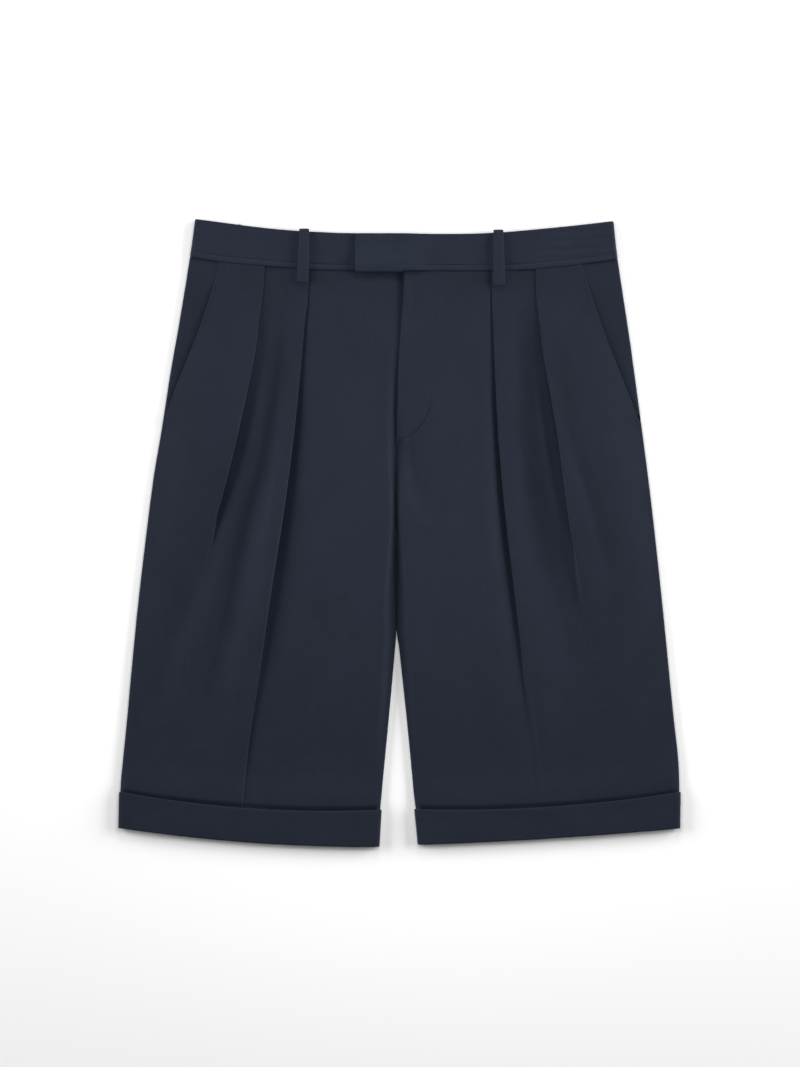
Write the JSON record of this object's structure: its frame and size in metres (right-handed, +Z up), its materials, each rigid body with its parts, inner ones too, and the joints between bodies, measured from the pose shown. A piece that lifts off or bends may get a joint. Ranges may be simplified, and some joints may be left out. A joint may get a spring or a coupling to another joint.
{
  "type": "bermuda shorts",
  "caption": "Pleated bermuda shorts with slant pockets, belt loops, a tab waistband and turn-up cuffs, laid flat on their back.",
  "frame": {"origin": "on the surface the garment lies on, under the middle of its outline", "axes": "+Y towards the waist, +Z up out of the front, -X at the viewer's left when looking down on the front"},
  "size_m": [0.5618, 0.6268, 0.0089],
  "materials": {
    "cloth": "matt fine plain weave"
  },
  "bodies": {
    "root": {"front_left": "cloth", "back_left": "cloth", "side_panel_left": "cloth", "waistband_left": "cloth", "cuff_left": "cloth", "front_right": "cloth", "back_right": "cloth", "side_panel_right": "cloth", "waistband_right": "cloth", "cuff_right": "cloth", "belt_loop_front_left": "cloth", "belt_loop_front_right": "cloth", "belt_loop_back_left": "cloth", "belt_loop_back_centre": "cloth", "belt_loop_back_right": "cloth"}
  },
  "joints": []
}
